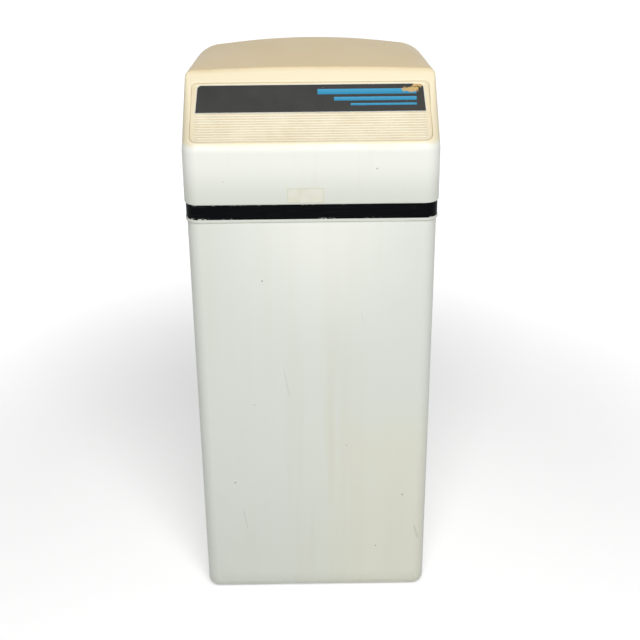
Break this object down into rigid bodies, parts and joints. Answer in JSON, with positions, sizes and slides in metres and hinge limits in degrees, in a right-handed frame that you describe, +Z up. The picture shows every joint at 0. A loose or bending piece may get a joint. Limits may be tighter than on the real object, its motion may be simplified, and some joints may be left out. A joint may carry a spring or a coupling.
{
  "type": "water softener",
  "caption": "Cabinet water softener: tapered salt tank, lift-off hood with sloped ribbed panel, resin vessel, rotary control valve and brine well inside.",
  "frame": {"origin": "centre of the cabinet's floor face", "axes": "+Z up, the front panel faces -Y, +X to the right seen from the front"},
  "size_m": [0.439, 0.4578, 1.03],
  "materials": {
    "cabinet_white": "moulded satin",
    "hood_white": "moulded satin, yellowed on top",
    "band_black": "gloss",
    "insert_cream": "moulded satin",
    "plate_dark": "printed film, satin",
    "grid_ivory": "moulded matt",
    "pipe_white": "smooth",
    "vessel_blue": "wound glass fibre, satin",
    "foot_black": "moulded matt",
    "resin_amber": "beads",
    "seal_black": "smooth",
    "valve_grey": "glass filled, matt",
    "gear_ivory": "moulded satin",
    "steel": "plated",
    "motor_can": "plated",
    "deck_grey": "moulded matt",
    "dial_white": "satin",
    "knob_grey": "moulded satin",
    "pin_red": "gloss",
    "bypass_black": "glass filled, matt",
    "float_orange": "satin"
  },
  "bodies": {
    "cabinet": {"salt_tank": "cabinet_white", "salt_grid": "grid_ivory", "brine_well": "pipe_white", "brine_pipe": "pipe_white", "brine_line": "pipe_white", "riser_tube": "pipe_white", "lower_distributor": "gear_ivory", "upper_distributor": "gear_ivory", "brine_valve": "valve_grey", "air_check": "valve_grey", "valve_body": "valve_grey", "valve_cover": "valve_grey", "injector_body": "valve_grey", "deck_posts": "valve_grey", "brine_nut": "knob_grey", "overflow_nut": "knob_grey", "overflow_elbow": "knob_grey", "cord_gland": "knob_grey", "injector_cap": "knob_grey", "drain_fitting": "knob_grey", "mineral_tank": "vessel_blue", "tank_foot": "foot_black", "resin_bed": "resin_amber", "neck_o_ring": "seal_black", "valve_seat": "seal_black", "thrust_washer": "seal_black", "shaft_seal": "seal_black", "cover_screws": "steel", "deck_screws": "steel", "bypass_clips": "steel", "valve_motor": "motor_can", "clock_motor": "motor_can", "control_deck": "deck_grey", "bypass_body": "bypass_black"},
    "hood": {"cover_shell": "hood_white", "trim_band": "band_black", "fascia": "insert_cream", "nameplate": "plate_dark"},
    "well_cap": {"brine_well_cap": "pipe_white"},
    "float_set": {"float_rod": "knob_grey", "float": "float_orange"},
    "check_ball": {"air_check_ball": "dial_white"},
    "rotor": {"rotor_disc": "gear_ivory", "drive_gear": "gear_ivory", "cycle_knob": "knob_grey"},
    "pinion": {"motor_pinion": "steel"},
    "dial": {"time_dial": "dial_white"},
    "clock_gear": {"clock_pinion": "gear_ivory"},
    "days": {"day_wheel": "gear_ivory"},
    "spool": {"bypass_spool": "pin_red"},
    "skip_pin_1": {"day_pin_1": "pin_red"},
    "skip_pin_2": {"day_pin_2": "pin_red"},
    "skip_pin_3": {"day_pin_3": "pin_red"},
    "skip_pin_4": {"day_pin_4": "pin_red"},
    "skip_pin_5": {"day_pin_5": "pin_red"},
    "skip_pin_6": {"day_pin_6": "pin_red"},
    "skip_pin_7": {"day_pin_7": "pin_red"}
  },
  "joints": [
    {"name": "cover_lift", "type": "slide", "parent": "cabinet", "child": "hood", "axis": [0, 0, 1], "range_m": [0, 0.25]},
    {"name": "well_cap_lift", "type": "slide", "parent": "cabinet", "child": "well_cap", "axis": [0, 0, 1], "range_m": [0, 0.06]},
    {"name": "float_rise", "type": "slide", "parent": "cabinet", "child": "float_set", "axis": [0, 0, 1], "range_m": [0, 0.013]},
    {"name": "ball_rise", "type": "slide", "parent": "cabinet", "child": "check_ball", "axis": [0, 0, 1], "range_m": [0, 0.02]},
    {"name": "rotor_turn", "type": "hinge", "parent": "cabinet", "child": "rotor", "pos_m": [0, 0.04, 0.87], "axis": [0, 0, 1], "continuous": true},
    {"name": "motor_turn", "type": "hinge", "parent": "cabinet", "child": "pinion", "pos_m": [0.048, 0.04, 0.87], "axis": [0, 0, 1], "continuous": true},
    {"name": "dial_turn", "type": "hinge", "parent": "cabinet", "child": "dial", "pos_m": [-0.038, -0.045, 0.887], "axis": [0, 0, 1], "continuous": true},
    {"name": "clock_turn", "type": "hinge", "parent": "cabinet", "child": "clock_gear", "pos_m": [-0.078, -0.045, 0.887], "axis": [0, 0, 1], "continuous": true},
    {"name": "day_turn", "type": "hinge", "parent": "cabinet", "child": "days", "pos_m": [0.042, -0.05, 0.89], "axis": [0, 0, 1], "continuous": true},
    {"name": "bypass_pull", "type": "slide", "parent": "cabinet", "child": "spool", "axis": [0, 0, 1], "range_m": [0, 0.02]},
    {"name": "skip_pin_1_pull", "type": "slide", "parent": "days", "child": "skip_pin_1", "axis": [0, 0, 1], "range_m": [0, 0.003]},
    {"name": "skip_pin_2_pull", "type": "slide", "parent": "days", "child": "skip_pin_2", "axis": [0, 0, 1], "range_m": [0, 0.003]},
    {"name": "skip_pin_3_pull", "type": "slide", "parent": "days", "child": "skip_pin_3", "axis": [0, 0, 1], "range_m": [0, 0.003]},
    {"name": "skip_pin_4_pull", "type": "slide", "parent": "days", "child": "skip_pin_4", "axis": [0, 0, 1], "range_m": [0, 0.003]},
    {"name": "skip_pin_5_pull", "type": "slide", "parent": "days", "child": "skip_pin_5", "axis": [0, 0, 1], "range_m": [0, 0.003]},
    {"name": "skip_pin_6_pull", "type": "slide", "parent": "days", "child": "skip_pin_6", "axis": [0, 0, 1], "range_m": [0, 0.003]},
    {"name": "skip_pin_7_pull", "type": "slide", "parent": "days", "child": "skip_pin_7", "axis": [0, 0, 1], "range_m": [0, 0.003]}
  ],
  "couplings": [
    {"joint": "motor_turn", "follows": "rotor_turn", "ratio": -3},
    {"joint": "clock_turn", "follows": "dial_turn", "ratio": -4}
  ]
}
